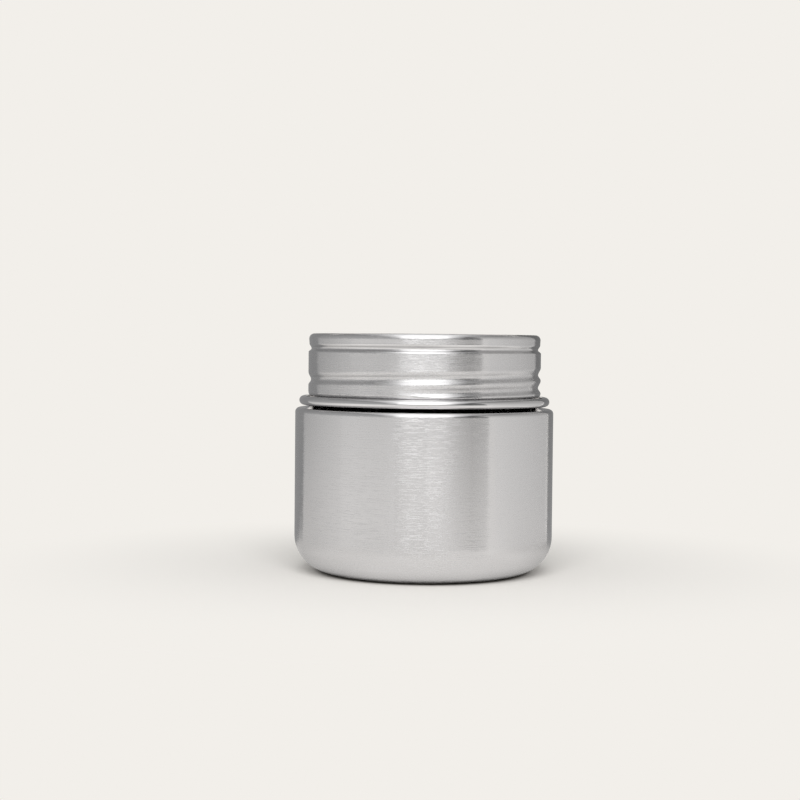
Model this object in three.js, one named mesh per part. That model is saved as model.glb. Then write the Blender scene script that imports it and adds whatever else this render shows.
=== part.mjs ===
// Screw-lid food canister in drawn stainless steel: a one-piece can, a screw lid and the lid's seal ring.
// Millimetres, +Z up, origin at the centre of the base, lid screwed shut.
import * as THREE from "three";

// Sheet that the can and the lid are drawn from
const sheetThickness = 0.6;

// Can, measured over its outside
const canDiameter = 90;
const shoulderHeight = 56.8;
const baseCornerRadius = 12.5;
const baseRingWidth = 6;
const baseRecessDepth = 1.2;
const baseStepRadius = 1.6;
const shoulderCornerRadius = 1.5;
const neckInset = 6.6;
const neckFootRadius = 4;
const neckHeight = 21.5;
const rimCurlDiameter = 2.4;

// Thread rolled into the neck, standing out, and into the lid, standing in, with the long flanks facing
const threadPitch = 4.5;
const threadHeight = 0.9;
const longFlank = 2.6;
const threadTurns = 1.5;
const threadStartAngle = THREE.MathUtils.degToRad(-105);
const threadFadeAngle = THREE.MathUtils.degToRad(26);
const threadClearance = 0.6;
const lidThreadRise = 6.4;
const neckThreadLead = 2.45;

// Lid. The bead is deepest at beadDrop under the seal's seat and longer above that line than below it
const lidCornerRadius = 1.8;
const lidBandInset = 0.3;
const lidBandTaper = 0.1;
const beadDrop = 1.35;
const beadAbove = 1.85;
const beadBelow = 1.15;
const beadDepth = 0.9;
const hemDiameter = 3.1;
const hemReach = 3.1;
const hemOpening = THREE.MathUtils.degToRad(80);
const hemGap = 1.0;

// Seal ring, lying in the lid above the bead
const sealThickness = 3.0;
const sealWidth = 4.0;
const sealEdgeRadius = 0.6;
const sealClearance = 0.3;

// Facets of the round forms
const segmentsAround = 40;
const arcDeviation = 0.06;
const rolledStep = 0.75;
const sealEdgeSteps = 1;

// Sizes that follow: the lid is fitted to the threaded neck, and the seal lies between the rim and the lid
const canRadius = canDiameter / 2;
const neckRadius = canRadius - neckInset;
const rimHeight = shoulderHeight + neckHeight;
const lidInnerRadius = neckRadius + threadHeight + threadClearance;
const lidRadius = lidInnerRadius + sheetThickness;
const seatHeight = rimHeight + sealClearance;
const shortFlank = threadPitch - longFlank;
const hemDepth = neckHeight + sealClearance - hemGap;
const lidThreadHeight = lidThreadRise - hemDepth;
const neckThreadHeight = seatHeight + lidThreadHeight + neckThreadLead;

const rightAngle = Math.PI / 2;
const fullTurn = Math.PI * 2;
const smallestLength = 1e-6;

// Start and end of the thread's helix, from the height at which its first turn crosses angle 0
const helixStart = (threadPitch * threadStartAngle) / fullTurn;
const helixEnd = helixStart + threadPitch * threadTurns;

// Adds a straight stretch in short steps, fine enough for a form to be rolled into it
function lineInSteps(path, radius, height) {
  const start = path.currentPoint.clone();
  const end = new THREE.Vector2(radius, height);
  const count = Math.ceil(start.distanceTo(end) / rolledStep);
  for (let step = 1; step <= count; step += 1) {
    const point = start.clone().lerp(end, step / count);
    path.lineTo(point.x, point.y);
  }
}

// Number of chords for an arc, so that none lies further than arcDeviation from it
function arcSteps(arc) {
  const sweep = Math.abs(arc.aEndAngle - arc.aStartAngle);
  const chordSweep = 2 * Math.acos(1 - arcDeviation / arc.xRadius);
  return Math.ceil(sweep / chordSweep);
}

// Offsets the middle line of a sheet to both sides and joins the sides into one closed outline
function sheetOutline(middleLine) {
  const right = [];
  const left = [];
  for (const curve of middleLine.curves) {
    if (curve.getLength() < smallestLength) continue;
    const steps = curve.isEllipseCurve ? arcSteps(curve) : 1;
    for (let step = right.length ? 1 : 0; step <= steps; step += 1) {
      const point = curve.getPoint(step / steps);
      const along = curve.getTangent(step / steps);
      const half = new THREE.Vector2(along.y, -along.x).multiplyScalar(sheetThickness / 2);
      right.push(point.clone().add(half));
      left.push(point.clone().sub(half));
    }
  }
  return [...right, ...left.reverse()];
}

// Turns an outline of radius and height about the upright axis
function revolve(outline) {
  return new THREE.LatheGeometry(outline, segmentsAround).rotateX(rightAngle);
}

// Section of a rolled bead or thread: a smooth wave, deepest at distance 0, that runs out above and below
function rolledSection(distance, above, below, depth) {
  const reach = distance > 0 ? above : below;
  if (Math.abs(distance) > reach) return 0;
  return (depth / 2) * (1 + Math.cos((Math.PI * distance) / reach));
}

// Depth of the rolled thread at an angle and height: a right-hand helix that fades in and out at its ends.
// crossingHeight is the height at which its first turn crosses angle 0.
function rolledThread(angle, height, crossingHeight, above, below) {
  const length = threadTurns * fullTurn;
  let depth = 0;
  for (let turn = -1; turn <= Math.ceil(threadTurns) + 1; turn += 1) {
    const helixAngle = angle + turn * fullTurn;
    const travelled = helixAngle - threadStartAngle;
    const fadeIn = THREE.MathUtils.smoothstep(travelled, 0, threadFadeAngle);
    const fadeOut = THREE.MathUtils.smoothstep(length - travelled, 0, threadFadeAngle);
    const helixHeight = crossingHeight + (threadPitch * helixAngle) / fullTurn;
    depth += fadeIn * fadeOut * rolledSection(height - helixHeight, above, below, threadHeight);
  }
  return depth;
}

// Moves every point of a revolved sheet outwards by outwardShift(angle, height), both faces alike
function rollForm(geometry, outwardShift) {
  const points = geometry.attributes.position;
  for (let index = 0; index < points.count; index += 1) {
    const x = points.getX(index);
    const y = points.getY(index);
    const radius = Math.hypot(x, y);
    if (radius < smallestLength) continue;
    const scale = 1 + outwardShift(Math.atan2(y, x), points.getZ(index)) / radius;
    points.setXY(index, x * scale, y * scale);
  }
  geometry.computeVertexNormals();
  return geometry;
}

// Can: recessed base on a flat ring, round base corner, straight wall, shoulder, neck and inward-curled rim
function canGeometry() {
  const half = sheetThickness / 2;
  const wall = canRadius - half;
  const cornerRadius = baseCornerRadius - half;
  const ringOuter = canRadius - baseCornerRadius;
  const ringInner = ringOuter - baseRingWidth;
  const stepSweep = Math.acos(1 - baseRecessDepth / (2 * baseStepRadius));
  const stepReach = 2 * baseStepRadius * Math.sin(stepSweep);
  const shoulderRadius = shoulderCornerRadius - half;
  const footRadius = neckFootRadius + half;
  const neck = neckRadius - half;
  const curlRadius = rimCurlDiameter / 2 - half;
  const curlHeight = rimHeight - rimCurlDiameter / 2;
  const shoulder = shoulderHeight - half;

  const line = new THREE.Path();
  line.moveTo(0, baseRecessDepth + half);
  line.lineTo(ringInner - stepReach, baseRecessDepth + half);
  line.absarc(ringInner - stepReach, baseRecessDepth + half - baseStepRadius, baseStepRadius,
    rightAngle, rightAngle - stepSweep, true);
  line.absarc(ringInner, half + baseStepRadius, baseStepRadius, -rightAngle - stepSweep, -rightAngle, false);
  line.lineTo(ringOuter, half);
  line.absarc(ringOuter, baseCornerRadius, cornerRadius, -rightAngle, 0, false);
  line.lineTo(wall, shoulder - shoulderRadius);
  line.absarc(wall - shoulderRadius, shoulder - shoulderRadius, shoulderRadius, 0, rightAngle, false);
  line.lineTo(neck + footRadius, shoulder);
  line.absarc(neck + footRadius, shoulder + footRadius, footRadius, -rightAngle, -Math.PI, true);
  line.lineTo(neck, neckThreadHeight + helixStart - longFlank);
  lineInSteps(line, neck, neckThreadHeight + helixEnd + shortFlank);
  line.lineTo(neck, curlHeight);
  line.absarc(neck - curlRadius, curlHeight, curlRadius, 0, 3 * rightAngle, false);

  const geometry = revolve(sheetOutline(line));
  const thread = (angle, height) => rolledThread(angle, height, neckThreadHeight, shortFlank, longFlank);
  return rollForm(geometry, thread);
}

// Lid, from the seal's seat: flat top, round corner, bead under the seal, threaded skirt and curled hem
function lidGeometry() {
  const half = sheetThickness / 2;
  const top = sealThickness + sealClearance + half;
  const skirt = lidRadius - half;
  const band = skirt - lidBandInset;
  const bandTop = band + lidBandTaper;
  const cornerRadius = lidCornerRadius - half;
  const curlRadius = hemDiameter / 2 - half;
  const curlCentre = lidRadius + hemReach - hemDiameter / 2;
  const curlHeight = hemDiameter / 2 - hemDepth;
  const flareRadius = curlCentre - skirt;
  const flareHeight = curlHeight - curlRadius + flareRadius;

  const line = new THREE.Path();
  line.moveTo(0, top);
  line.lineTo(bandTop - cornerRadius, top);
  line.absarc(bandTop - cornerRadius, top - cornerRadius, cornerRadius, rightAngle, 0, true);
  line.lineTo(band, beadAbove - beadDrop);
  lineInSteps(line, skirt, -beadBelow - beadDrop);
  line.lineTo(skirt, lidThreadHeight + helixEnd + longFlank);
  lineInSteps(line, skirt, lidThreadHeight + helixStart - shortFlank);
  line.lineTo(skirt, flareHeight);
  line.absarc(curlCentre, flareHeight, flareRadius, Math.PI, 3 * rightAngle, false);
  line.absarc(curlCentre, curlHeight, curlRadius, -rightAngle, Math.PI - hemOpening, false);

  const geometry = revolve(sheetOutline(line));
  const bead = (height) => rolledSection(height + beadDrop, beadAbove, beadBelow, beadDepth);
  const thread = (angle, height) => rolledThread(angle, height, lidThreadHeight, longFlank, shortFlank);
  return rollForm(geometry, (angle, height) => -bead(height) - thread(angle, height));
}

// Seal ring, from its underside: a flat ring with rounded edges that fits inside the lid's upper band
function sealGeometry() {
  const outer = lidInnerRadius - lidBandInset - sealClearance;
  const inner = outer - sealWidth;
  const low = sealEdgeRadius;
  const high = sealThickness - sealEdgeRadius;
  const outline = new THREE.Path();
  outline.absarc(outer - sealEdgeRadius, low, sealEdgeRadius, -rightAngle, 0, false);
  outline.absarc(outer - sealEdgeRadius, high, sealEdgeRadius, 0, rightAngle, false);
  outline.absarc(inner + sealEdgeRadius, high, sealEdgeRadius, rightAngle, Math.PI, false);
  outline.absarc(inner + sealEdgeRadius, low, sealEdgeRadius, Math.PI, 3 * rightAngle, false);
  outline.closePath();
  return revolve(outline.getPoints(sealEdgeSteps));
}

function namedMesh(name, geometry, look) {
  const mesh = new THREE.Mesh(geometry, new THREE.MeshStandardMaterial(look));
  mesh.name = name;
  return mesh;
}

const brushedSteel = { color: 0xe1e0e0, roughness: 0.3, metalness: 1 };
const paleSilicone = { color: 0xe4e1da, roughness: 0.55, metalness: 0 };

// The lid and its seal sit on the rim as one closure
const closure = new THREE.Group();
closure.position.z = seatHeight;
closure.add(namedMesh("lid", lidGeometry(), brushedSteel));
closure.add(namedMesh("seal_ring", sealGeometry(), paleSilicone));

const canister = new THREE.Group();
canister.add(namedMesh("can", canGeometry(), brushedSteel));
canister.add(closure);

export default canister;
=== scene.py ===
import math

import bpy
import numpy as np
from mathutils import Matrix, Vector


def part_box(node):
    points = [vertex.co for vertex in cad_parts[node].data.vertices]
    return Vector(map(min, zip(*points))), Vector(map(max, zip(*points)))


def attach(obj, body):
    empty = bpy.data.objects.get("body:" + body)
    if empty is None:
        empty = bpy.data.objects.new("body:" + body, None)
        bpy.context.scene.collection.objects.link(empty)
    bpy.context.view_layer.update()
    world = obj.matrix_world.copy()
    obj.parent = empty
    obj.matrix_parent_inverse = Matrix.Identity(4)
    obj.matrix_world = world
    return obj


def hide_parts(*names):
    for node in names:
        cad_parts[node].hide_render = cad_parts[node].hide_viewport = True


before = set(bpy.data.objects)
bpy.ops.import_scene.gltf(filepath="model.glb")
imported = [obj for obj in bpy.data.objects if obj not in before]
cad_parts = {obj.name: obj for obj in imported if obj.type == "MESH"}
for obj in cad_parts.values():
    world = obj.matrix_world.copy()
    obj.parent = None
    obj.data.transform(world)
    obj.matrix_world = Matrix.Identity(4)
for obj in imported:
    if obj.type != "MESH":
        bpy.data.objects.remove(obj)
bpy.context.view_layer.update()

scene = bpy.context.scene
scene.view_settings.view_transform = "Standard"

MM = 0.001
RIGHT_ANGLE = math.pi / 2
FULL_TURN = math.pi * 2
TINY = 1e-6


# Sizes read from the solids, in millimetres
def solid_box(node):
    low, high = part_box(node)
    return low / MM, high / MM


_, can_high = solid_box("can")
lid_low, lid_high = solid_box("lid")
seal_low, seal_high = solid_box("seal_ring")
CAN_RADIUS = can_high.x
RIM_HEIGHT = can_high.z
LID_TOP = lid_high.z
HEM_RADIUS = lid_high.x
HEM_BOTTOM = lid_low.z
SEAL_RADIUS = seal_high.x
SEAL_BOTTOM = seal_low.z
SEAL_TOP = seal_high.z

# Rolled thread, in millimetres and radians
PITCH = 4.5
THREAD_HEIGHT = 0.9
LONG_FLANK = 2.6
SHORT_FLANK = PITCH - LONG_FLANK
THREAD_TURNS = 1.5
THREAD_START = math.radians(-105)
THREAD_FADE = math.radians(26)
THREAD_CLEARANCE = 0.6
LID_THREAD_RISE = 6.4
NECK_THREAD_LEAD = 2.45
LID_THREAD = HEM_BOTTOM + LID_THREAD_RISE
NECK_THREAD = LID_THREAD + NECK_THREAD_LEAD
THREAD_FOOT = PITCH * THREAD_START / FULL_TURN
THREAD_HEAD = THREAD_FOOT + PITCH * THREAD_TURNS

# Can, in millimetres
SHEET = 0.6
HALF = SHEET / 2
HEM_GAP = 1.0
SHOULDER_HEIGHT = HEM_BOTTOM - HEM_GAP
BASE_CORNER = 12.5
BASE_RING = 6.0
BASE_RECESS = 1.2
BASE_STEP = 1.6
SHOULDER_CORNER = 1.5
NECK_INSET = 6.6
NECK_RADIUS = CAN_RADIUS - NECK_INSET
NECK_FOOT = 4.0
RIM_CURL = 2.4

# Lid, in millimetres
LID_RADIUS = NECK_RADIUS + THREAD_HEIGHT + THREAD_CLEARANCE + SHEET
LID_CORNER = 1.8
LID_BAND_INSET = 0.3
LID_BAND_TAPER = 0.1
BEAD_DROP = 1.35
BEAD_HEIGHT = SEAL_BOTTOM - BEAD_DROP
BEAD_ABOVE = 1.85
BEAD_BELOW = 1.15
BEAD_DEPTH = 0.9
HEM = 3.1
HEM_OPENING = math.radians(60)
CREASE_DEPTH = 0.5
CREASE_HEIGHT = 1.3

# Seal ring, in millimetres
SEAL_WIDTH = 4.0
SEAL_EDGE = 0.6
SEAL_EDGE_POINTS = 9

# Polish of each stretch: 0 is as brushed, 1 is bright and below 0 is coarser
BASE_RING_POLISH = 0.5
SHOULDER_CORNER_POLISH = 0.6
SHOULDER_POLISH = 1.0
CURL_POLISH = 1.0
LID_CORNER_POLISH = 0.4
BEAD_POLISH = 0.5
LID_BAND_POLISH = -0.15
LID_THREAD_POLISH = -0.4
CREASE_POLISH = 0.6

# Painted shade: a thin dark line on an upper flank, strongest on one side of the thread, standing in for
# the shade there
PAINTED_SHADE_LINE_PLACE = 0.45
PAINTED_SHADE_LINE_WIDTH = 0.2
PAINTED_SHADE_SIDE = math.radians(-120)

# Fineness of the meshes
SEGMENTS = 192
ARC_STEP = math.radians(6)
STRAIGHT_STEP = 4.0
GUARD_STEP = 0.25
ROLLED_STEP = 0.25
LID_ROLLED_STEP = 0.15
SHARP_ANGLE = math.radians(40)


# Middle line of a sheet: places, directions and how polished each stretch is
class MiddleLine:
    def __init__(self, radius, height):
        self.end = np.array([radius, height])
        self.places = []
        self.directions = []
        self.polish = []

    def add(self, places, directions, polish):
        skip = 1 if self.places else 0
        self.places.extend(places[skip:])
        self.directions.extend(directions[skip:])
        self.polish.extend([polish] * (len(places) - skip))
        self.end = places[-1]

    def line_to(self, radius, height, step=STRAIGHT_STEP, polish=0.0):
        target = np.array([radius, height])
        length = np.linalg.norm(target - self.end)
        if length < TINY:
            return
        count = max(1, math.ceil(length / step))
        shares = np.linspace(0, 1, count + 1)
        # Points close to both ends keep the smooth shading of a bend off a long stretch
        if length > 2 * GUARD_STEP * count:
            guard = GUARD_STEP / length
            shares = np.sort(np.append(shares, [guard, 1 - guard]))
        places = self.end + np.outer(shares, target - self.end)
        directions = np.repeat([(target - self.end) / length], len(shares), axis=0)
        self.add(list(places), list(directions), polish)

    def arc(self, centre_radius, centre_height, size, start, finish, polish=0.0):
        count = max(2, math.ceil(abs(finish - start) / ARC_STEP))
        angles = np.linspace(start, finish, count + 1)
        centre = np.array([centre_radius, centre_height])
        outward = np.stack([np.cos(angles), np.sin(angles)], axis=1)
        turn = math.copysign(1, finish - start)
        along = turn * np.stack([-outward[:, 1], outward[:, 0]], axis=1)
        self.add(list(centre + size * outward), list(along), polish)

    def outline(self):
        """Both faces of the sheet as one outline, with the facts of each point for the material."""
        places = np.array(self.places)
        along = np.array(self.directions)
        steps = np.linalg.norm(np.diff(places, axis=0), axis=1)
        length = np.concatenate([[0], np.cumsum(steps)])
        offset = HALF * np.stack([along[:, 1], -along[:, 0]], axis=1)
        faces = np.concatenate([places + offset, (places - offset)[::-1]])
        facts = {
            "along": np.concatenate([length, length[::-1]]),
            "polish": np.array(self.polish + self.polish[::-1]),
            "inner": np.repeat([0, 1], len(places)),
        }
        return faces, facts


# Section of a rolled bead or thread: deepest at distance 0, running out above and below
def rolled_section(distance, above, below, depth):
    reach = np.where(distance > 0, above, below)
    wave = (depth / 2) * (1 + np.cos(math.pi * distance / reach))
    return np.where(np.abs(distance) > reach, 0, wave)


# Painted shade: a thin dark line placed along the upper flank of a bead or thread
def painted_shade_line(distance, above):
    return np.exp(-((distance - PAINTED_SHADE_LINE_PLACE * above) / PAINTED_SHADE_LINE_WIDTH) ** 2)


def smoothstep(value, low, high):
    share = np.clip((value - low) / (high - low), 0, 1)
    return share * share * (3 - 2 * share)


# Section carried along the thread's helix, which fades in and out and is at crossing_height at angle 0
def along_thread(angle, height, crossing_height, section):
    total = np.zeros(np.broadcast(angle, height).shape)
    for turn in range(-1, math.ceil(THREAD_TURNS) + 2):
        helix_angle = angle + turn * FULL_TURN
        travelled = helix_angle - THREAD_START
        fade_in = smoothstep(travelled, 0, THREAD_FADE)
        fade_out = smoothstep(THREAD_TURNS * FULL_TURN - travelled, 0, THREAD_FADE)
        helix_height = crossing_height + PITCH * helix_angle / FULL_TURN
        total += fade_in * fade_out * section(height - helix_height)
    return total


def rolled_thread(angle, height, crossing_height, above, below):
    def section(distance):
        return rolled_section(distance, above, below, THREAD_HEIGHT)

    return along_thread(angle, height, crossing_height, section)


# Short ways to build meshes and objects
def add_object(name, data):
    thing = bpy.data.objects.new(name, data)
    scene.collection.objects.link(thing)
    return thing


def add_fact(mesh, name, values):
    layer = mesh.attributes.new(name, "FLOAT", "POINT")
    layer.data.foreach_set("value", np.asarray(values, np.float32))


def grid_faces(index, round_rows=False, round_columns=False):
    """Faces of a grid of vertex numbers, with three corners where two of the four are the same vertex."""
    rows, columns = index.shape
    faces = []
    for row in range(rows if round_rows else rows - 1):
        lower = index[row]
        upper = index[(row + 1) % rows]
        for column in range(columns if round_columns else columns - 1):
            following = (column + 1) % columns
            corners = [lower[column], lower[following], upper[following], upper[column]]
            faces.append(list(dict.fromkeys(int(corner) for corner in corners)))
    return faces


# Mesh of an outline turned about the upright axis
def revolve(name, outline, facts, shift=None, marks_and_painted_shade=None, closed=False):
    """shift(angle, height) pushes the surface outwards; the second function, of angle and height, gives
    the painted shade that darkens each point.
    """
    angles = np.linspace(-math.pi, math.pi, SEGMENTS, endpoint=False)
    radius = np.repeat(outline[:, :1], SEGMENTS, axis=1)
    height = np.repeat(outline[:, 1:], SEGMENTS, axis=1)
    on_axis = outline[:, 0] < TINY
    if shift:
        radius = np.where(on_axis[:, None], 0, radius + shift(angles, height))
    grid = np.stack([radius * np.cos(angles), radius * np.sin(angles), height], axis=2)
    # Painted shade: how much each point's colour is darkened
    painted_shade = marks_and_painted_shade(angles, height) if marks_and_painted_shade else np.zeros_like(height)

    # A point on the axis is one vertex, whatever its angle
    kept = np.ones(height.shape, bool)
    kept[on_axis, 1:] = False
    index = np.cumsum(kept).reshape(kept.shape) - 1
    owners, _ = np.nonzero(kept)

    faces = grid_faces(index, round_rows=closed, round_columns=True)
    mesh = bpy.data.meshes.new(name)
    mesh.from_pydata((grid[kept] * MM).tolist(), [], faces)
    for fact, values in facts.items():
        add_fact(mesh, fact, values[owners])
    add_fact(mesh, "painted_shade", painted_shade[kept])
    mesh.shade_smooth()
    mesh.set_sharp_from_angle(angle=SHARP_ANGLE)
    mesh.validate()
    return add_object(name, mesh)


# Can: recessed base, flat ring, round corner, wall, shoulder, threaded neck and curled rim
def make_can():
    wall = CAN_RADIUS - HALF
    ring_outer = CAN_RADIUS - BASE_CORNER
    ring_inner = ring_outer - BASE_RING
    sweep = math.acos(1 - BASE_RECESS / (2 * BASE_STEP))
    panel = BASE_RECESS + HALF
    panel_radius = ring_inner - 2 * BASE_STEP * math.sin(sweep)
    shoulder = SHOULDER_HEIGHT - HALF
    corner = SHOULDER_CORNER - HALF
    foot = NECK_FOOT + HALF
    neck = NECK_RADIUS - HALF
    curl = RIM_CURL / 2 - HALF
    curl_height = RIM_HEIGHT - RIM_CURL / 2

    line = MiddleLine(0, panel)
    line.line_to(panel_radius, panel)
    line.arc(panel_radius, panel - BASE_STEP, BASE_STEP, RIGHT_ANGLE, RIGHT_ANGLE - sweep)
    line.arc(ring_inner, HALF + BASE_STEP, BASE_STEP, -RIGHT_ANGLE - sweep, -RIGHT_ANGLE)
    line.line_to(ring_outer, HALF, polish=BASE_RING_POLISH)
    line.arc(ring_outer, BASE_CORNER, BASE_CORNER - HALF, -RIGHT_ANGLE, 0)
    line.line_to(wall, shoulder - corner)
    line.arc(wall - corner, shoulder - corner, corner, 0, RIGHT_ANGLE, polish=SHOULDER_CORNER_POLISH)
    line.line_to(neck + foot, shoulder, polish=SHOULDER_POLISH)
    line.arc(neck + foot, shoulder + foot, foot, -RIGHT_ANGLE, -math.pi, polish=SHOULDER_POLISH)
    line.line_to(neck, NECK_THREAD + THREAD_FOOT - LONG_FLANK)
    line.line_to(neck, NECK_THREAD + THREAD_HEAD + SHORT_FLANK, step=ROLLED_STEP)
    line.line_to(neck, curl_height)
    line.arc(neck - curl, curl_height, curl, 0, 3 * RIGHT_ANGLE, polish=CURL_POLISH)
    outline, facts = line.outline()

    def shift(angle, height):
        return rolled_thread(angle, height, NECK_THREAD, SHORT_FLANK, LONG_FLANK)

    return revolve("can_shell", outline, facts, shift)


# Lid: flat top, round corner, bead that holds the seal, threaded skirt and curled hem
def make_lid():
    top = LID_TOP - HALF
    skirt = LID_RADIUS - HALF
    band = skirt - LID_BAND_INSET
    band_top = band + LID_BAND_TAPER
    corner = LID_CORNER - HALF
    thread_top = LID_THREAD + THREAD_HEAD + LONG_FLANK
    curl = HEM / 2 - HALF
    curl_centre = HEM_RADIUS - HEM / 2
    curl_height = HEM_BOTTOM + HEM / 2
    crease = skirt - CREASE_DEPTH
    crease_top = HEM_BOTTOM + HEM + CREASE_HEIGHT
    flare = curl_centre - crease
    flare_height = curl_height - curl + flare

    line = MiddleLine(0, top)
    line.line_to(band_top - corner, top)
    line.arc(band_top - corner, top - corner, corner, RIGHT_ANGLE, 0, polish=LID_CORNER_POLISH)
    line.line_to(band, BEAD_HEIGHT + BEAD_ABOVE)
    line.line_to(skirt, BEAD_HEIGHT - BEAD_BELOW, step=LID_ROLLED_STEP, polish=BEAD_POLISH)
    line.line_to(skirt, thread_top, polish=LID_BAND_POLISH)
    line.line_to(skirt, crease_top, step=LID_ROLLED_STEP, polish=LID_THREAD_POLISH)
    line.line_to(crease, flare_height, step=ROLLED_STEP, polish=CREASE_POLISH)
    line.arc(curl_centre, flare_height, flare, math.pi, 3 * RIGHT_ANGLE, polish=CREASE_POLISH)
    line.arc(curl_centre, curl_height, curl, -RIGHT_ANGLE, math.pi - HEM_OPENING, polish=CURL_POLISH)

    # This line runs down from the top, so its faces come in the other order than the can's
    outline, facts = line.outline()
    outline = outline[::-1]
    facts = {name: values[::-1] for name, values in facts.items()}
    facts["inner"] = 1 - facts["inner"]

    def shift(angle, height):
        bead = rolled_section(height - BEAD_HEIGHT, BEAD_ABOVE, BEAD_BELOW, BEAD_DEPTH)
        return -bead - rolled_thread(angle, height, LID_THREAD, LONG_FLANK, SHORT_FLANK)

    # Painted shade: dark lines on the upper flanks of the bead and the thread, strongest on one side of
    # the thread
    def thread_painted_shade(distance):
        return painted_shade_line(distance, LONG_FLANK)

    def marks_and_painted_shade(angle, height):
        bead = painted_shade_line(height - BEAD_HEIGHT, BEAD_ABOVE)
        thread = along_thread(angle, height, LID_THREAD, thread_painted_shade)
        return bead + thread * np.clip(np.cos(angle - PAINTED_SHADE_SIDE), 0, 1)

    return revolve("lid_shell", outline, facts, shift, marks_and_painted_shade)


# Seal: flat ring with rounded edges
def make_seal():
    outer = SEAL_RADIUS - SEAL_EDGE
    inner = SEAL_RADIUS - SEAL_WIDTH + SEAL_EDGE
    bottom = SEAL_BOTTOM + SEAL_EDGE
    top = SEAL_TOP - SEAL_EDGE
    centres = [(outer, bottom), (outer, top), (inner, top), (inner, bottom)]
    places = []
    for quarter, centre in enumerate(centres):
        start = (quarter - 1) * RIGHT_ANGLE
        for angle in np.linspace(start, start + RIGHT_ANGLE, SEAL_EDGE_POINTS):
            places.append(np.array(centre) + SEAL_EDGE * np.array([math.cos(angle), math.sin(angle)]))
    return revolve("seal_moulding", np.array(places), {}, closed=True)


# Sockets of the node that mixes colours
MIX_SHARE = 0
MIX_FIRST = 6
MIX_SECOND = 7
MIX_RESULT = 2


# Short ways to build node materials
def new_material(name):
    material = bpy.data.materials.new(name)
    material.use_nodes = True
    material.node_tree.nodes.clear()
    return material


def set_input(tree, node, name_or_number, value):
    socket = node.inputs[name_or_number]
    if isinstance(value, bpy.types.NodeSocket):
        tree.links.new(value, socket)
    else:
        socket.default_value = value


def add_node(tree, kind, settings=None, **values):
    node = tree.nodes.new(kind)
    for name, value in (settings or {}).items():
        setattr(node, name, value)
    for name, value in values.items():
        set_input(tree, node, name.replace("_", " "), value)
    return node


def maths(tree, operation, first, second=0.0):
    node = add_node(tree, "ShaderNodeMath", {"operation": operation})
    set_input(tree, node, 0, first)
    set_input(tree, node, 1, second)
    return node.outputs["Value"]


def vector_maths(tree, operation, first, second=(0, 0, 0)):
    node = add_node(tree, "ShaderNodeVectorMath", {"operation": operation})
    set_input(tree, node, 0, first)
    set_input(tree, node, 1, second)
    return node.outputs["Vector"]


def scaled(tree, vector, amount):
    node = add_node(tree, "ShaderNodeVectorMath", {"operation": "SCALE"}, Scale=amount)
    set_input(tree, node, 0, vector)
    return node.outputs["Vector"]


def vector_length(tree, vector):
    node = add_node(tree, "ShaderNodeVectorMath", {"operation": "LENGTH"})
    set_input(tree, node, 0, vector)
    return node.outputs["Value"]


def weighted_sum(tree, base, *terms):
    total = base
    for value, weight in terms:
        total = maths(tree, "ADD", total, maths(tree, "MULTIPLY", value, weight))
    return total


def signed(tree, value):
    return maths(tree, "MULTIPLY", maths(tree, "SUBTRACT", value, 0.5), 2.0)


def smooth_ramp(tree, value, low, high):
    smooth = {"interpolation_type": "SMOOTHSTEP"}
    ramp = add_node(tree, "ShaderNodeMapRange", smooth, Value=value, From_Min=low, From_Max=high)
    return ramp.outputs["Result"]


def mix_colours(tree, share, first, second, clamped=True):
    mix = add_node(tree, "ShaderNodeMix", {"data_type": "RGBA", "clamp_factor": clamped})
    set_input(tree, mix, MIX_SHARE, share)
    set_input(tree, mix, MIX_FIRST, first)
    set_input(tree, mix, MIX_SECOND, second)
    return mix.outputs[MIX_RESULT]


def object_place(tree):
    return add_node(tree, "ShaderNodeTexCoord").outputs["Object"]


def fact_value(tree, name):
    return add_node(tree, "ShaderNodeAttribute", {"attribute_name": name}).outputs["Fac"]


def noise_value(tree, place, scale, detail):
    return add_node(tree, "ShaderNodeTexNoise", Vector=place, Scale=scale, Detail=detail).outputs["Fac"]


# Brush marks on the steel: how fine they are round the axis and across it
HAIRLINES = {"marks_round": 14.0, "lines_per_mm": 3.2, "offset": 0.0, "detail": 1.0}
STROKES = {"marks_round": 5.0, "lines_per_mm": 1.1, "offset": 77.0, "detail": 2.0}
LONG_MARKS = {"marks_round": 6.0, "lines_per_mm": 4.2, "offset": 191.0, "detail": 0.5}
SHORT_MARKS = {"marks_round": 22.0, "lines_per_mm": 4.4, "offset": 333.0, "detail": 0.0}
LONG_MARK_SHARE = 0.6
SHORT_MARK_SHARE = 0.4
STEEL_CLOUDS = {"scale": 45.0, "detail": 3.0}
INNER_FACE_OFFSET = 500
FLECK_LOW = 0.51
FLECK_HIGH = 0.62
POLISH_CALM = 0.8


# Noise drawn out round the axis, like the marks of a brush held against the turning piece
def brushed_noise(tree, direction, along, marks_round, lines_per_mm, offset, detail):
    spread = scaled(tree, direction, marks_round)
    across = weighted_sum(tree, offset, (along, lines_per_mm))
    lift = add_node(tree, "ShaderNodeCombineXYZ", Z=across).outputs["Vector"]
    place = vector_maths(tree, "ADD", spread, lift)
    return noise_value(tree, place, 1.0, detail)


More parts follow.
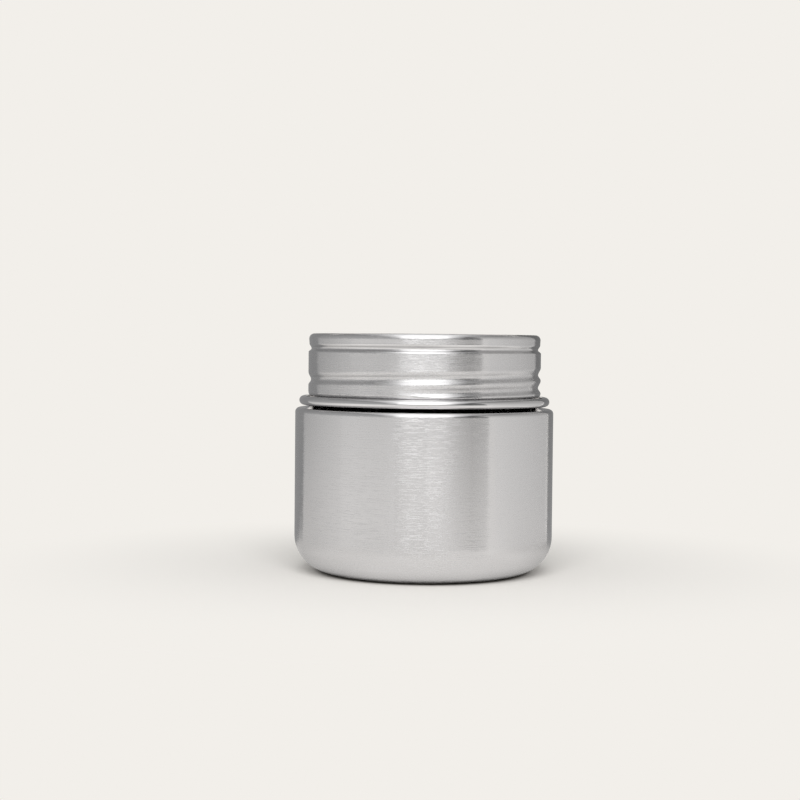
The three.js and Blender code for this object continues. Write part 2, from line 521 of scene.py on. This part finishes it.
def brush_marks(tree):
    """The brush marks at a place on the steel, by name."""
    place = object_place(tree)
    direction = vector_maths(tree, "NORMALIZE", vector_maths(tree, "MULTIPLY", place, (1, 1, 0)))
    inner = fact_value(tree, "inner")
    along = weighted_sum(tree, fact_value(tree, "along"), (inner, INNER_FACE_OFFSET))
    long_marks = brushed_noise(tree, direction, along, **LONG_MARKS)
    short_marks = brushed_noise(tree, direction, along, **SHORT_MARKS)
    ripple = weighted_sum(tree, 0.0, (long_marks, LONG_MARK_SHARE), (short_marks, SHORT_MARK_SHARE))
    flecks = smooth_ramp(tree, ripple, FLECK_LOW, FLECK_HIGH)
    polish = fact_value(tree, "polish")
    coarse = weighted_sum(tree, 1.0, (polish, -POLISH_CALM))
    return {
        "hairlines": brushed_noise(tree, direction, along, **HAIRLINES),
        "strokes": brushed_noise(tree, direction, along, **STROKES),
        "clouds": noise_value(tree, place, **STEEL_CLOUDS),
        "ripple": ripple,
        "fleck": maths(tree, "MULTIPLY", flecks, coarse),
        "polish": polish,
        "coarse": coarse,
    }


# Brushed steel: fine hairlines round the axis, smoother on curls and corners, and painted shade that
# darkens thin lines on the lid's flanks
STEEL_LIGHT = (0.785, 0.777, 0.781, 1)
STEEL_DARK = (0.715, 0.708, 0.711, 1)
HAIRLINE_TONE = 0.4
CLOUD_TONE = 0.2
STROKE_TONE = 0.4
FLECK_TONE = 0.85
PAINTED_SHADE_TONE = 3.0
STEEL_ROUGHNESS = 0.20
STROKE_ROUGHNESS = 0.03
CLOUD_ROUGHNESS = 0.015
FLECK_ROUGHNESS = 0.095
POLISH_GAIN = 0.11
HAIRLINE_TILT = 0.014
STROKE_TILT_SHARE = 0.6
HAIRLINE_LIFT = 0.01
QUARTER_TURN = 0.25


def steel_colour(tree, marks_and_painted_shade):
    tone = weighted_sum(
        tree,
        0.0,
        (marks_and_painted_shade["hairlines"], HAIRLINE_TONE),
        (marks_and_painted_shade["clouds"], CLOUD_TONE),
        (marks_and_painted_shade["strokes"], STROKE_TONE),
        (marks_and_painted_shade["fleck"], FLECK_TONE),
        # painted shade lowers the colour along the dark lines on the flanks
        (fact_value(tree, "painted_shade"), -PAINTED_SHADE_TONE),
    )
    return mix_colours(tree, tone, STEEL_DARK, STEEL_LIGHT, clamped=False)


def steel_roughness(tree, marks_and_painted_shade):
    return weighted_sum(
        tree,
        STEEL_ROUGHNESS,
        (signed(tree, marks_and_painted_shade["strokes"]), STROKE_ROUGHNESS),
        (signed(tree, marks_and_painted_shade["clouds"]), CLOUD_ROUGHNESS),
        (marks_and_painted_shade["polish"], -POLISH_GAIN),
        (marks_and_painted_shade["fleck"], FLECK_ROUGHNESS),
    )


def steel_normal(tree, marks_and_painted_shade, tangent):
    strokes = signed(tree, marks_and_painted_shade["strokes"])
    side = weighted_sum(tree, signed(tree, marks_and_painted_shade["hairlines"]), (strokes, STROKE_TILT_SHARE))
    side_tilt = maths(tree, "MULTIPLY", maths(tree, "MULTIPLY", side, marks_and_painted_shade["coarse"]), HAIRLINE_TILT)
    lift = maths(tree, "MULTIPLY", signed(tree, marks_and_painted_shade["ripple"]), marks_and_painted_shade["coarse"])
    lift_tilt = maths(tree, "MULTIPLY", lift, HAIRLINE_LIFT)
    normal = add_node(tree, "ShaderNodeNewGeometry").outputs["Normal"]
    cross = vector_maths(tree, "CROSS_PRODUCT", normal, tangent)
    tilted = vector_maths(tree, "ADD", normal, scaled(tree, tangent, side_tilt))
    tilted = vector_maths(tree, "ADD", tilted, scaled(tree, cross, lift_tilt))
    return vector_maths(tree, "NORMALIZE", tilted)


def brushed_steel(name):
    material = new_material(name)
    tree = material.node_tree
    marks_and_painted_shade = brush_marks(tree)
    round_axis = {"direction_type": "RADIAL", "axis": "Z"}
    tangent = add_node(tree, "ShaderNodeTangent", round_axis).outputs["Tangent"]
    shader = add_node(tree, "ShaderNodeBsdfPrincipled", Metallic=1.0, Anisotropic=1.0)
    set_input(tree, shader, "Anisotropic Rotation", QUARTER_TURN)
    set_input(tree, shader, "Base Color", steel_colour(tree, marks_and_painted_shade))
    set_input(tree, shader, "Roughness", steel_roughness(tree, marks_and_painted_shade))
    set_input(tree, shader, "Tangent", tangent)
    set_input(tree, shader, "Normal", steel_normal(tree, marks_and_painted_shade, tangent))
    add_node(tree, "ShaderNodeOutputMaterial", Surface=shader.outputs["BSDF"])
    return material


# Silicone: matt, slightly see-through, with a fine moulded grain
SILICONE_LIGHT = (0.82, 0.80, 0.76, 1)
SILICONE_DARK = (0.74, 0.72, 0.68, 1)
SILICONE_GRAIN = {"scale": 2600.0, "detail": 3.0}
SILICONE_CLOUDS = {"scale": 120.0, "detail": 3.0}
SILICONE_ROUGHNESS = 0.46
GRAIN_ROUGHNESS = 0.16
GRAIN_STRENGTH = 0.25
GRAIN_DEPTH = 0.00005
LIGHT_INSIDE = 0.35
LIGHT_REACH = 0.0025


def silicone(name):
    material = new_material(name)
    tree = material.node_tree
    place = object_place(tree)
    grain = noise_value(tree, place, **SILICONE_GRAIN)
    clouds = noise_value(tree, place, **SILICONE_CLOUDS)
    bump = add_node(tree, "ShaderNodeBump", Strength=GRAIN_STRENGTH, Distance=GRAIN_DEPTH, Height=grain)
    shader = add_node(tree, "ShaderNodeBsdfPrincipled")
    set_input(tree, shader, "Subsurface Weight", LIGHT_INSIDE)
    set_input(tree, shader, "Subsurface Scale", LIGHT_REACH)
    set_input(tree, shader, "Base Color", mix_colours(tree, clouds, SILICONE_DARK, SILICONE_LIGHT))
    set_input(tree, shader, "Roughness", weighted_sum(tree, SILICONE_ROUGHNESS, (grain, GRAIN_ROUGHNESS)))
    set_input(tree, shader, "Normal", bump.outputs["Normal"])
    add_node(tree, "ShaderNodeOutputMaterial", Surface=shader.outputs["BSDF"])
    return material


# Pieces, each on the body that carries it
def dress(piece, material, body, node):
    piece.data.materials.append(material)
    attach(piece, body)
    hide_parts(node)


dress(make_can(), brushed_steel("can_brushed_steel"), "canister", "can")
dress(make_lid(), brushed_steel("lid_brushed_steel"), "lid", "lid")
dress(make_seal(), silicone("seal_silicone"), "seal", "seal_ring")


# World and floor, in metres: a contact shadow is painted on the floor where the can meets it, and the
# floor fades into the backdrop
BACKDROP = (0.888, 0.863, 0.823, 1)
AMBIENT = (0.62, 0.62, 0.62, 1)
FLOOR_COLOUR = (0.845, 0.825, 0.79, 1)
PAINTED_CONTACT_SHADOW = (0.30, 0.28, 0.25, 1)
FLOOR_RADIUS = 3.0
FADE_START = 0.05
FADE_END = 0.17
PAINTED_SHADOW_START = 0.0345
PAINTED_SHADOW_END = 0.0385


def seen_directly(tree):
    """1 for what the camera or a reflection sees, 0 for light that falls on a matt surface."""
    path = add_node(tree, "ShaderNodeLightPath")
    seen = maths(tree, "MAXIMUM", path.outputs["Is Camera Ray"], path.outputs["Is Glossy Ray"])
    return maths(tree, "MAXIMUM", seen, path.outputs["Is Transmission Ray"])


def make_world():
    world = bpy.data.worlds.new("studio")
    world.use_nodes = True
    tree = world.node_tree
    tree.nodes.clear()
    colour = mix_colours(tree, seen_directly(tree), AMBIENT, BACKDROP)
    background = add_node(tree, "ShaderNodeBackground", Color=colour)
    add_node(tree, "ShaderNodeOutputWorld", Surface=background.outputs["Background"])
    scene.world = world


def floor_material():
    material = new_material("pale_floor")
    tree = material.node_tree
    reach = vector_length(tree, object_place(tree))
    # Painted contact shadow: the floor's colour is darkened close to the can's foot
    painted_contact_shadow = smooth_ramp(tree, reach, PAINTED_SHADOW_START, PAINTED_SHADOW_END)
    colour = mix_colours(tree, painted_contact_shadow, PAINTED_CONTACT_SHADOW, FLOOR_COLOUR)
    fade = smooth_ramp(tree, reach, FADE_START, FADE_END)
    share = maths(tree, "MULTIPLY", fade, seen_directly(tree))
    near = add_node(tree, "ShaderNodeBsdfDiffuse", Color=colour)
    far = add_node(tree, "ShaderNodeEmission", Color=BACKDROP)
    mix = add_node(tree, "ShaderNodeMixShader", Fac=share)
    set_input(tree, mix, 1, near.outputs["BSDF"])
    set_input(tree, mix, 2, far.outputs["Emission"])
    add_node(tree, "ShaderNodeOutputMaterial", Surface=mix.outputs["Shader"])
    material.cycles.emission_sampling = "NONE"
    return material


def make_floor():
    angles = np.linspace(0, FULL_TURN, SEGMENTS, endpoint=False)
    places = [(FLOOR_RADIUS * math.cos(angle), FLOOR_RADIUS * math.sin(angle), 0) for angle in angles]
    mesh = bpy.data.meshes.new("floor")
    mesh.from_pydata(places, [], [list(range(SEGMENTS))])
    mesh.materials.append(floor_material())
    floor = add_object("floor", mesh)


# Studio cards, in metres: plain boards round the set that only reflections see
def card_material(name, colour):
    material = new_material(name)
    tree = material.node_tree
    glow = add_node(tree, "ShaderNodeEmission", Color=colour, Strength=fact_value(tree, "glow"))
    add_node(tree, "ShaderNodeOutputMaterial", Surface=glow.outputs["Emission"])
    material.cycles.emission_sampling = "NONE"
    return material


WHITE_CARD = card_material("white_card", (1, 1, 1, 1))
SOFT_CARD = card_material("soft_card", (1, 0.99, 0.977, 1))
WARM_CARD = card_material("warm_card", (1, 0.98, 0.955, 1))


def add_card(name, grid, glow, look, closed=False):
    """Adds a board from a grid of places, in rows and columns, with the glow of each place."""
    rows, columns, axes = grid.shape
    index = np.arange(rows * columns).reshape(rows, columns)
    mesh = bpy.data.meshes.new(name)
    mesh.from_pydata(grid.reshape(-1, axes).tolist(), [], grid_faces(index, round_columns=closed))
    add_fact(mesh, "glow", np.ravel(glow))
    mesh.materials.append(look)
    card = add_object(name, mesh)
    card.visible_camera = False
    card.visible_diffuse = False
    card.visible_shadow = False


def grid_of(x, y, z):
    return np.stack(np.broadcast_arrays(x, y, z), axis=-1)


# Places round the axis: azimuths are in degrees, 0 towards the camera and + to its right
def grid_round(radius, azimuths, height):
    angles = np.radians(azimuths)
    return grid_of(radius * np.sin(angles), -radius * np.cos(angles), height)


# Walls: curved boards whose glow runs from one end to the other and is changed at the foot and the top
WALL_RADIUS = 0.6
WALL_HEIGHT = 0.9
WALL_FOOT_SHARE = 0.10
WALL_TOP_DIMMED = 0.75
FLAG_RADIUS = 0.13
FLAG_HEIGHT = 0.14
FRONT_GAP_HEIGHT = 0.14
BOARD_RADIUS = 0.16
BOARD_HEIGHT = 0.06
WALL_STEP = 3

# Azimuths where the walls end
BACK_LEFT = -138
BACK_FLAG_LEFT = -115
SIDE_LEFT = -74
FRONT_LEFT = -24
FRONT_RIGHT = 3
DARK_RIGHT = 40
SIDE_RIGHT = 56
BOARD_RIGHT = 57
BACK_FLAG_RIGHT = 124
BACK_RIGHT = 138


def make_wall(name, ends, glow, radius=WALL_RADIUS, low=0.0, high=WALL_HEIGHT, foot=1.0, top=1.0,
              look=WHITE_CARD):
    start, finish = ends
    start_glow, finish_glow = glow
    count = max(1, math.ceil((finish - start) / WALL_STEP))
    share = np.linspace(0, 1, count + 1)
    azimuths = start + (finish - start) * share
    levels = start_glow + (finish_glow - start_glow) * share
    heights = np.array([low, low + (high - low) * WALL_FOOT_SHARE, high])
    parts = np.array([foot, 1.0, top])
    add_card(name, grid_round(radius, azimuths, heights[:, None]), np.outer(parts, levels), look)


def make_walls():
    flag = {"radius": FLAG_RADIUS, "high": FLAG_HEIGHT}
    make_wall("back_flag_left", (BACK_LEFT, BACK_FLAG_LEFT), glow=(0.28, 0.28), **flag)
    make_wall("back_flag_right", (BACK_FLAG_RIGHT, BACK_RIGHT), glow=(0.28, 0.28), **flag)

    dimmed = {"top": WALL_TOP_DIMMED}
    make_wall("left_fill", (BACK_LEFT, SIDE_LEFT), glow=(0.305, 0.45), foot=1.6, **dimmed)
    make_wall("left_front", (SIDE_LEFT, FRONT_LEFT), glow=(0.44, 0.44), foot=2.0, **dimmed)
    make_wall("right_fade", (FRONT_RIGHT, DARK_RIGHT), glow=(0.35, 0.14), foot=3.2, **dimmed)
    make_wall("right_flag", (DARK_RIGHT, SIDE_RIGHT), glow=(0.14, 0.24), foot=2.2, **dimmed)

    make_wall("front", (FRONT_LEFT, FRONT_RIGHT), glow=(1.28, 1.28), low=FRONT_GAP_HEIGHT)
    make_wall("front_gap", (FRONT_LEFT, FRONT_RIGHT), glow=(0.38, 0.38), high=FRONT_GAP_HEIGHT)

    make_wall("right_fill", (SIDE_RIGHT, BACK_RIGHT), glow=(0.72, 0.46), top=0.4, look=SOFT_CARD)

    board = {"radius": BOARD_RADIUS, "high": BOARD_HEIGHT}
    make_wall("right_board", (BOARD_RIGHT, BACK_FLAG_RIGHT), glow=(0.78, 0.56), look=SOFT_CARD, **board)


# Rim flags: a grey board behind each edge of the can
RIM_FLAG_NEAR = 0.042
RIM_FLAG_FAR = 0.085
RIM_FLAG_BEHIND = 0.045


def make_rim_flag(name, side, foot_glow, top_glow):
    across = side * np.array([RIM_FLAG_NEAR, RIM_FLAG_FAR])
    heights = np.array([0, FLAG_HEIGHT])
    glow = np.repeat([foot_glow, top_glow], len(across))
    add_card(name, grid_of(across, RIM_FLAG_BEHIND, heights[:, None]), glow, WHITE_CARD)


# Ceiling: one dim square board
CEILING_HEIGHT = 1.3
CEILING_HALF_WIDTH = 1.2
CEILING_GLOW = 0.22


def make_ceiling():
    ends = np.array([-CEILING_HALF_WIDTH, CEILING_HALF_WIDTH])
    grid = grid_of(ends, ends[:, None], CEILING_HEIGHT)
    add_card("ceiling", grid, np.full(grid.shape[:2], CEILING_GLOW), WHITE_CARD)


# Floor card: rings round the foot of the can, each with its radius and its glow by azimuth; the dim rings
# nearest the foot are a painted contact shadow that reflections see
FLOOR_CARD_SHADOW_FOOT = [(-180, 0.05), (180, 0.05)]
FLOOR_CARD_SHADOW_EDGE = [(-180, 0.15), (-60, 0.20), (-25, 0.35), (25, 0.35), (60, 0.20), (180, 0.15)]
FLOOR_CARD_SHADOW_NEAR = [(-180, 0.30), (-60, 0.42), (-25, 0.64), (25, 0.64), (60, 0.42), (180, 0.30)]
FLOOR_CARD_LOW = [
    (-180, 0.48), (-85, 0.50), (-50, 0.68), (-25, 0.80),
    (25, 0.80), (50, 0.72), (85, 0.50), (180, 0.48),
]
FLOOR_CARD_INSIDE = [
    (-180, 0.60), (-95, 0.58), (-60, 0.77), (-20, 0.84),
    (20, 0.84), (60, 0.80), (95, 0.60), (130, 0.42), (180, 0.60),
]
FLOOR_CARD_MIDDLE = [
    (-180, 0.58), (-85, 0.62), (-60, 0.72), (-20, 0.74), (-5, 0.68),
    (10, 0.72), (20, 0.93), (45, 0.93), (70, 0.62), (100, 0.50), (130, 0.30), (160, 0.36), (180, 0.58),
]
FLOOR_CARD_OUTSIDE = [
    (-180, 0.86), (-150, 0.62), (-115, 0.63), (-85, 0.82),
    (-60, 0.97), (-30, 0.92), (60, 0.90), (180, 0.86),
]
FLOOR_CARD_RINGS = [
    (0.0368, FLOOR_CARD_SHADOW_FOOT),
    (0.0377, FLOOR_CARD_SHADOW_EDGE),
    (0.0388, FLOOR_CARD_SHADOW_NEAR),
    (0.0430, FLOOR_CARD_LOW),
    (0.0550, FLOOR_CARD_INSIDE),
    (0.066, FLOOR_CARD_INSIDE),
    (0.080, FLOOR_CARD_MIDDLE),
    (0.106, FLOOR_CARD_MIDDLE),
    (0.120, FLOOR_CARD_OUTSIDE),
    (0.590, FLOOR_CARD_OUTSIDE),
]
FLOOR_CARD_HEIGHT = 0.0004
FLOOR_CARD_STEP = 4


def make_floor_card():
    azimuths = np.arange(-180, 180, FLOOR_CARD_STEP)
    radii = np.array([radius for radius, levels in FLOOR_CARD_RINGS])
    glow = [np.interp(azimuths, *zip(*levels)) for radius, levels in FLOOR_CARD_RINGS]
    grid = grid_round(radii[:, None], azimuths, FLOOR_CARD_HEIGHT)
    add_card("floor_card", grid, glow, WARM_CARD, closed=True)


# Key: one long curved board from the front to overhead, with its glow across it and by elevation
KEY_ACROSS = [
    (-0.33, 0.0), (-0.24, 0.2), (-0.175, 0.7), (-0.115, 1.0),
    (0.115, 1.0), (0.17, 0.75), (0.27, 0.25), (0.37, 0.0),
]
KEY_ALONG = [(14, 1.25), (24, 2.2), (42, 2.1), (62, 1.5), (96, 1.0), (116, 0.6)]
KEY_STEP = 2
KEY_EDGE_LEFT = 0.55
KEY_EDGE_RIGHT = 0.36
KEY_RADIUS = 0.58
KEY_CENTRE_HEIGHT = 0.05


def make_key():
    elevations, levels = zip(*KEY_ALONG)
    across, bright = np.transpose(KEY_ACROSS)
    rows = np.arange(elevations[0], elevations[-1] + KEY_STEP / 2, KEY_STEP)
    level = np.interp(rows, elevations, levels)[:, None]
    angle = np.radians(rows)[:, None]
    height = KEY_CENTRE_HEIGHT + KEY_RADIUS * np.sin(angle)
    edge = np.where(across < 0, KEY_EDGE_LEFT, KEY_EDGE_RIGHT)
    glow = edge + (level - edge) * bright
    add_card("key", grid_of(across, -KEY_RADIUS * np.cos(angle), height), glow, WHITE_CARD)


# Key lamp: soft light from above the front of the set, which reflections don't see
LAMP_PLACE = Vector((0.0, -0.78, 0.78))
LAMP_WIDTH = 0.7
LAMP_RADIANCE = 4.4


def make_key_lamp():
    lamp = bpy.data.lights.new("key_lamp", "AREA")
    lamp.shape = "SQUARE"
    lamp.size = LAMP_WIDTH
    lamp.energy = LAMP_RADIANCE * math.pi * LAMP_WIDTH ** 2
    softbox = add_object("key_lamp", lamp)
    softbox.location = LAMP_PLACE
    softbox.rotation_mode = "QUATERNION"
    softbox.rotation_quaternion = (-LAMP_PLACE).to_track_quat("-Z", "Y")
    softbox.visible_glossy = False


make_world()
make_floor()
make_walls()
make_rim_flag("rim_flag_left", -1, foot_glow=0.29, top_glow=0.25)
make_rim_flag("rim_flag_right", 1, foot_glow=0.30, top_glow=0.10)
make_ceiling()
make_key()
make_floor_card()
make_key_lamp()


# Camera of the photograph: lens and sensor in millimetres, place in metres
LENS = 72.0
SENSOR = 36.0
EYE = Vector((0, -0.5595, 0.0786))
YAW = math.radians(-0.868)
PITCH_DOWN = math.radians(1.955)
ROLL = math.radians(0.526)


def make_camera():
    forward = Vector((
        math.sin(YAW) * math.cos(PITCH_DOWN),
        math.cos(YAW) * math.cos(PITCH_DOWN),
        -math.sin(PITCH_DOWN),
    ))
    level = Vector((math.cos(YAW), -math.sin(YAW), 0))
    upright = level.cross(forward)
    right = math.cos(ROLL) * level + math.sin(ROLL) * upright
    up = -math.sin(ROLL) * level + math.cos(ROLL) * upright
    lens = bpy.data.cameras.new("camera")
    lens.lens = LENS
    lens.sensor_width = SENSOR
    camera = add_object("camera", lens)
    columns = Matrix((right, up, -forward)).transposed()
    camera.matrix_world = Matrix.Translation(EYE) @ columns.to_4x4()
    scene.camera = camera


make_camera()
